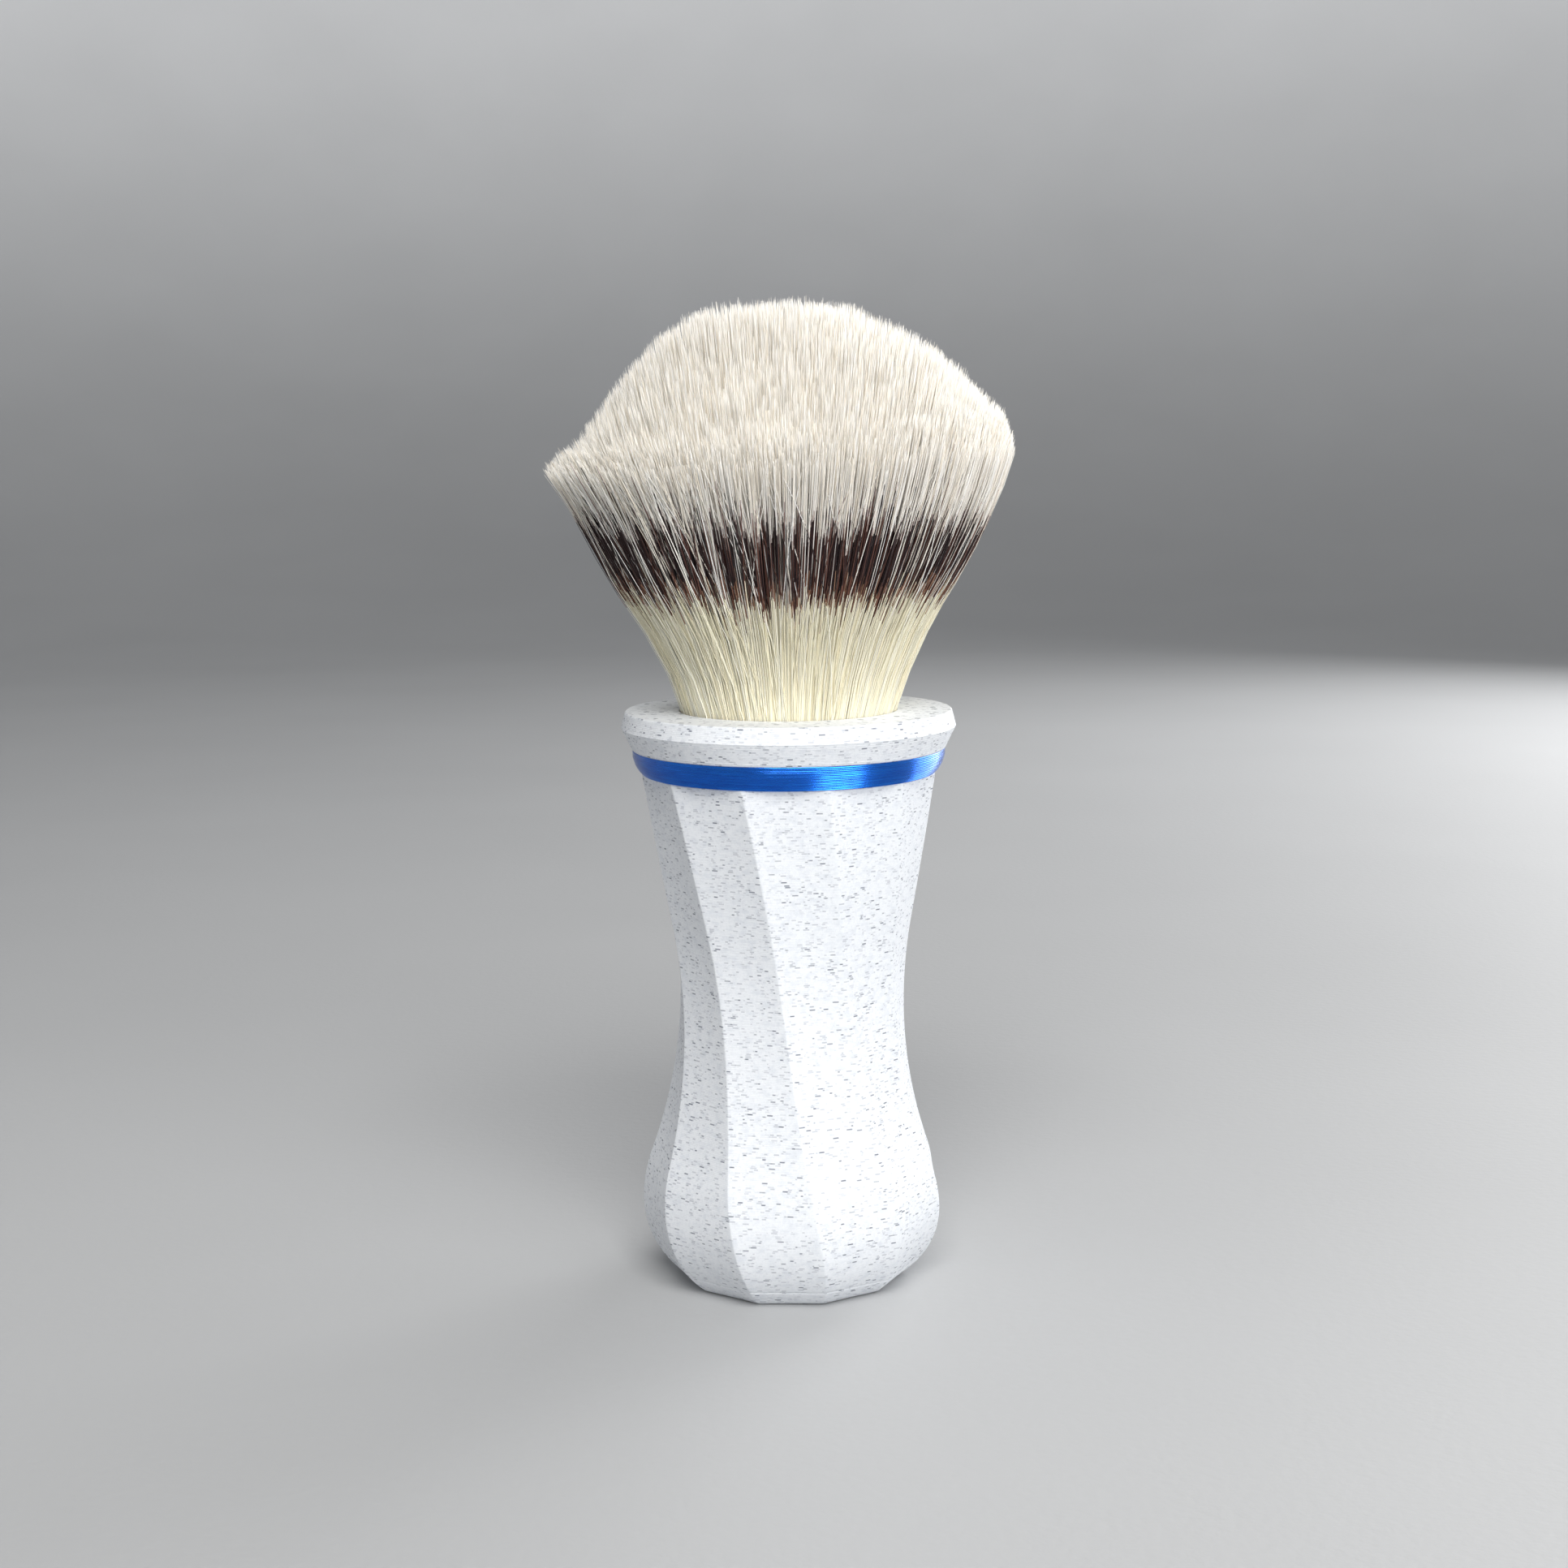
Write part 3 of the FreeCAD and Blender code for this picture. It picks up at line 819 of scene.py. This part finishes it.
def loose_fibres(finishes):
    """Stray fibres on the outside that cross the others at a slant."""
    count = LOOSE_FIBRES
    near = RANDOM.uniform(0, 1, count) < 0.25
    turn = np.where(near, RANDOM.normal(LOOSE_SIDE, 0.35, count), RANDOM.uniform(0, 2 * math.pi, count))
    slant = RANDOM.normal(0, math.radians(9), count) + LOOSE_LEAN * near
    share = RANDOM.uniform(0.985, 1.005, count)
    x, y = share * np.cos(turn), share * np.sin(turn)
    tip_share = np.minimum(share, 1.0)
    tip_x, tip_y = tip_share * np.cos(turn + slant), tip_share * np.sin(turn + slant)
    tip_z = tip_heights(tip_x, tip_y) - RANDOM.exponential(1.5, count)
    bounds = band_levels(RANDOM.normal(0, 0.8, count), count)
    tip_z = np.maximum(tip_z, bounds[3] + 1.0)
    plain = RANDOM.uniform(0, 1, count) < np.where(near, 0.8, 0.25)
    whole_fibres("fibres_loose", x, y, tip_x, tip_y, tip_z, bounds, plain, 0.35, finishes)


INNER_FIBRES = 17000
INNER_POINTS = (0.0, 0.5, 0.85, 1.0)  # along each fibre's upper end
INNER_TAPER = (1, 0.95, 0.75, 0.25)
INNER_START = 2.0  # they start this far inside the core


def inner_fibres(finishes):
    """The upper ends of the inner fibres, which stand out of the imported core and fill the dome."""
    count = INNER_FIBRES
    x, y, tip_x, tip_y, _ = bundle(count, 0.0, 0.9, 0.15, 0.3)
    tip_z = tip_heights(tip_x, tip_y)
    start = tip_z - CORE_DEPTH - INNER_START
    levels = np.stack([start + (tip_z - start) * f for f in INNER_POINTS], axis=1)
    lines = centre_lines(x, y, tip_x, tip_y, levels, tip_z, 0.03)
    tones = RANDOM.choice(TONES_EACH, count, p=TONE_SHARES)
    spans = len(INNER_POINTS) - 1
    zones = np.full((count, spans), TIP_ZONE)
    for number, batch in enumerate(in_batches(x, y, spans)):
        name = f"fibres_inner_{number}"
        fibre_rods(name, lines[batch], INNER_TAPER, zones[batch], tones[batch], finishes)


def fibre_knot():
    """The knot: a packed core, whole fibres round it, and the tips that fill the dome."""
    finishes = fibre_finishes()
    knot_core(finishes)
    outer_fibres(finishes)
    loose_fibres(finishes)
    inner_fibres(finishes)


# ---- the stage, the lights and the camera ----------------------------------------------------------


def studio():
    """A pale floor that curves up far behind the brush on every side and glows a little there."""
    made, tree, shader = material("studio_floor", Roughness=0.6)
    soft = noise(tree, millimetres(tree), 0.01, 2.0)
    pale = blend(tree, soft, colour(178, 179, 180), colour(186, 187, 188))
    tree.links.new(pale, shader.inputs["Base Color"])
    tree.links.new(bump(tree, noise(tree, millimetres(tree), 0.8, 2.0), 0.05), shader.inputs["Normal"])
    tree.links.new(pale, shader.inputs["Emission Color"])
    height = place(tree, "ShaderNodeSeparateXYZ", {0: millimetres(tree)}).outputs["Z"]
    tree.links.new(ramp(tree, height, -60.0, 600.0, 0.0, 0.85), shader.inputs["Emission Strength"])
    flat, curve = 900.0, 900.0  # radius of the flat part, and of the curve
    path = [(radius, 0.0) for radius in (60.0, 200.0, 500.0, flat)]
    for angle in np.radians(range(6, 91, 6)):
        path.append((flat + curve * math.sin(angle), curve * (1 - math.cos(angle))))
    count = 96
    rings = np.array([round_ring(radius, z, count) for radius, z in path])
    points = np.vstack([rings.reshape(-1, 3), [0, 0, 0]])
    step = np.arange(count)
    after = (step + 1) % count
    rows = np.arange(len(path) - 1)[:, None] * count
    corners = [rows + step, rows + count + step, rows + count + after, rows + after]
    quads = np.stack(corners, axis=-1).reshape(-1, 4)
    centre = np.stack([np.full(count, len(points) - 1), step, after], axis=-1)
    floor = build_mesh("studio_floor", points, [quads, centre], [made])


def soft_box(name, azimuth, elevation, distance, size, strength, tint=(1, 1, 1)):
    """A soft light aimed at the brush. Azimuth is from the camera's side towards +X.

    strength is how bright a white surface that faces it becomes.
    """
    aim = Vector((0, 0, COLLAR_TOP * MM))
    turn, lift = math.radians(azimuth), math.radians(elevation)
    away = Vector((math.sin(turn) * math.cos(lift), -math.cos(turn) * math.cos(lift), math.sin(lift)))
    light = bpy.data.lights.new(name, "AREA")
    light.shape = "RECTANGLE"
    light.size, light.size_y = size
    light.energy = strength * (math.pi * distance) ** 2
    light.color = tint
    lamp = bpy.data.objects.new(name, light)
    bpy.context.scene.collection.objects.link(lamp)
    lamp.location = aim + away * distance
    lamp.rotation_euler = away.to_track_quat("Z", "Y").to_euler()


def lights():
    """A high key in front, and lower soft boxes round the right-hand side. The left side stays in shade."""
    away = 0.75
    soft_box("front_key", 4, 47, away, (0.45, 0.35), 0.92, (1.0, 0.99, 0.97))
    soft_box("front_low", 38, 9, away, (0.44, 0.22), 0.38)
    soft_box("right", 124, 9, away, (0.5, 0.3), 0.35)
    soft_box("back_right", 142, 22, away, (0.4, 0.5), 0.42)
    world = bpy.data.worlds.new("studio_air")
    world.use_nodes = True
    background = world.node_tree.nodes["Background"]
    background.inputs["Color"].default_value = (0.93, 0.95, 1.0, 1.0)
    background.inputs["Strength"].default_value = 0.15
    bpy.context.scene.world = world
    bpy.context.scene.view_settings.view_transform = "Standard"


def camera():
    """The camera: in front of the brush, level with its fan, looking slightly down."""
    back, height = 281.3, 101.17
    yaw, pitch, roll = math.radians(-0.124), math.radians(8.161), math.radians(-0.563)
    ahead = Vector((math.sin(yaw) * math.cos(pitch), math.cos(yaw) * math.cos(pitch), -math.sin(pitch)))
    right = Vector((math.cos(yaw), -math.sin(yaw), 0))
    up = right.cross(ahead)
    turned_right = right * math.cos(roll) + up * math.sin(roll)
    turned_up = up * math.cos(roll) - right * math.sin(roll)
    data = bpy.data.cameras.new("camera")
    data.sensor_width = 36.0
    data.lens = 53.897
    data.clip_start, data.clip_end = 0.01, 20
    thing = bpy.data.objects.new("camera", data)
    bpy.context.scene.collection.objects.link(thing)
    rotation = Matrix((turned_right, turned_up, -ahead)).transposed().to_4x4()
    thing.matrix_world = Matrix.Translation((0, -back * MM, height * MM)) @ rotation
    bpy.context.scene.camera = thing


# ---- everything ------------------------------------------------------------------------------------


def finish_cad_node(node, made):
    """Gives a CAD node that isn't replaced its material."""
    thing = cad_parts[node]
    thing.data.materials.clear()
    thing.data.materials.append(made)


camera()
studio()
lights()

white = speckled_print()
grip_shell(white)
base_cap(white)
socket_collar(white)
accent_ring(silk_blue())
fibre_knot()
finish_cad_node("knot_root", potting_resin())
finish_cad_node("knot_adhesive", cured_adhesive())
finish_cad_node("ballast_slug", turned_steel())
